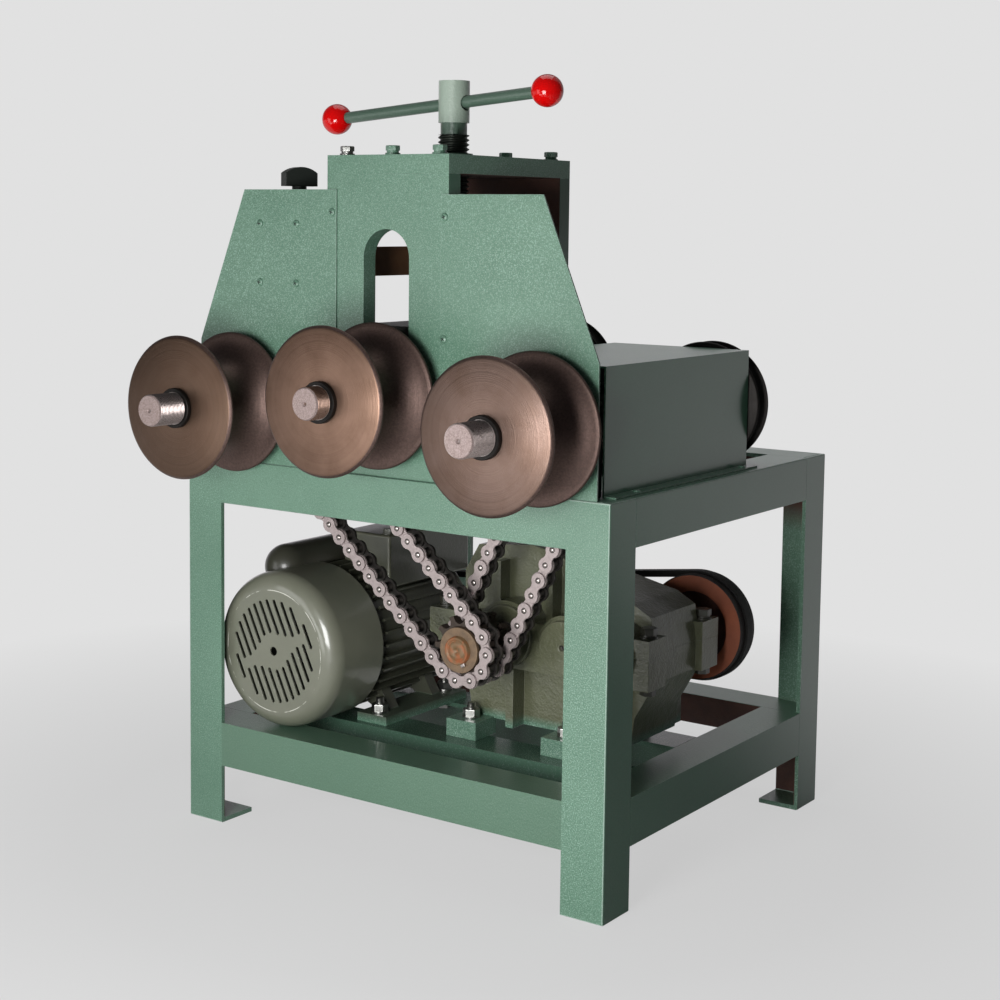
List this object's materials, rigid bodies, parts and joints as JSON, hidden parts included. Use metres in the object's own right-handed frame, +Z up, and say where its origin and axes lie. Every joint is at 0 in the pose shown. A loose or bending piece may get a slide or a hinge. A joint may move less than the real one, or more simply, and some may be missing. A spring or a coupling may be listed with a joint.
{
  "type": "electric tube bender",
  "caption": "Electric three-roll tube bender: grooved rolls on an angle-iron stand, chain-driven by a motor and gear reducer, with a hand screw that presses the middle roll.",
  "frame": {"origin": "On the floor, under the middle of the machine's bounding box", "axes": "+Z is up, -Y faces the operator and the front rolls, +X runs to the operator's right"},
  "size_m": [0.56, 0.63, 0.8432],
  "materials": {
    "green_paint": "hammered green enamel",
    "primer": "red-brown primer",
    "olive_paint": "glossy olive enamel on castings",
    "black_paint": "black enamel",
    "roll_steel": "turned, oiled and browned",
    "black_steel": "blackened",
    "bright_steel": "turned bright",
    "chain_steel": "oiled chain plates",
    "rusty_steel": "thin surface rust",
    "zinc": "zinc plated",
    "cast_grey": "machined casting, dark",
    "red_oxide": "red-oxide primer on cast iron",
    "red_plastic": "moulded, glossy",
    "dark_plastic": "moulded, satin",
    "belt_rubber": "wrapped rubber"
  },
  "bodies": {
    "frame": {"leg_front_left": "green_paint", "leg_front_right": "green_paint", "leg_rear_left": "green_paint", "leg_rear_right": "green_paint", "top_rails": "green_paint", "low_rails": "green_paint", "base_bars": "green_paint", "rear_beam": "green_paint", "tower_front_plate": "green_paint", "tower_rear_plate": "green_paint", "tower_top_plate": "green_paint", "tie_bars": "primer", "tower_bolts": "zinc", "cover_left": "green_paint", "cover_right": "green_paint", "guard_left": "green_paint", "guard_right": "green_paint", "cover_screws": "zinc", "switch_body": "dark_plastic", "housings_left": "cast_grey", "housings_right": "cast_grey", "roll_bearings": "bright_steel", "motor_body": "olive_paint", "motor_fan_cover": "olive_paint", "motor_end_shield": "olive_paint", "motor_terminal_box": "olive_paint", "motor_capacitor_cover": "black_paint", "reducer_base": "olive_paint", "reducer_cover": "olive_paint", "reducer_caps": "olive_paint", "drive_bolts": "zinc", "chain_front": "chain_steel", "chain_rear": "chain_steel", "v_belt": "belt_rubber"},
    "left_roll": {"left_shaft": "bright_steel", "left_die": "roll_steel", "left_rear_die": "black_steel", "left_sprocket": "chain_steel", "left_nuts": "black_steel"},
    "right_roll": {"right_shaft": "bright_steel", "right_die": "roll_steel", "right_rear_die": "black_steel", "right_sprocket": "chain_steel", "right_nuts": "black_steel"},
    "middle_roll": {"middle_shaft": "bright_steel", "middle_die": "roll_steel", "middle_rear_die": "black_steel", "middle_nuts": "black_steel"},
    "sliding_block": {"slider": "cast_grey"},
    "screw": {"press_screw": "green_paint"},
    "handle": {"cross_bar": "green_paint", "ball_knobs": "red_plastic"},
    "knob": {"switch_knob": "dark_plastic"},
    "output": {"output_shaft": "bright_steel", "drive_sprockets": "rusty_steel"},
    "lay": {"layshaft": "bright_steel"},
    "input": {"input_shaft": "bright_steel", "reducer_pulley": "red_oxide"},
    "rotor": {"motor_rotor": "bright_steel", "motor_pulley": "cast_grey"}
  },
  "joints": [
    {"name": "left_roll_spin", "type": "hinge", "parent": "frame", "child": "left_roll", "pos_m": [-0.2, -0.129, 0.4875], "axis": [0, 1, 0], "continuous": true, "deforming": ["chain_front", "chain_rear", "v_belt"]},
    {"name": "right_roll_spin", "type": "hinge", "parent": "frame", "child": "right_roll", "pos_m": [0.2, -0.097, 0.4875], "axis": [0, 1, 0], "continuous": true},
    {"name": "output_spin", "type": "hinge", "parent": "frame", "child": "output", "pos_m": [0.07712, -0.113, 0.24011], "axis": [0, 1, 0], "continuous": true},
    {"name": "layshaft_spin", "type": "hinge", "parent": "frame", "child": "lay", "pos_m": [0.15144, 0.025, 0.23726], "axis": [0, 1, 0], "continuous": true},
    {"name": "input_spin", "type": "hinge", "parent": "frame", "child": "input", "pos_m": [0.20939, 0.1455, 0.23503], "axis": [0, 1, 0], "continuous": true},
    {"name": "motor_spin", "type": "hinge", "parent": "frame", "child": "rotor", "pos_m": [-0.164, 0.1455, 0.207], "axis": [0, 1, 0], "continuous": true},
    {"name": "press_slide", "type": "slide", "parent": "frame", "child": "sliding_block", "axis": [0, 0, 1], "range_m": [-0.0271, 0.1401]},
    {"name": "screw_turn", "type": "hinge", "parent": "sliding_block", "child": "screw", "pos_m": [0, -0.053, 0.6], "axis": [0, 0, 1], "range_deg": [-1944, 10080]},
    {"name": "cross_bar_slide", "type": "slide", "parent": "screw", "child": "handle", "axis": [0.9966, 0, 0.0819], "range_m": [-0.086, 0.13]},
    {"name": "middle_roll_spin", "type": "hinge", "parent": "sliding_block", "child": "middle_roll", "pos_m": [0, -0.055, 0.507], "axis": [0, 1, 0], "continuous": true},
    {"name": "switch_knob_turn", "type": "hinge", "parent": "frame", "child": "knob", "pos_m": [-0.148, -0.137, 0.725], "axis": [0, 0, 1], "range_deg": [-60, 60]}
  ],
  "couplings": [
    {"joint": "right_roll_spin", "follows": "left_roll_spin", "ratio": 1},
    {"joint": "output_spin", "follows": "left_roll_spin", "ratio": 1},
    {"joint": "layshaft_spin", "follows": "left_roll_spin", "ratio": -6.9333},
    {"joint": "input_spin", "follows": "left_roll_spin", "ratio": 46.684},
    {"joint": "motor_spin", "follows": "left_roll_spin", "ratio": 68.86},
    {"joint": "press_slide", "follows": "screw_turn", "m_per_rad": 0.00079577}
  ]
}
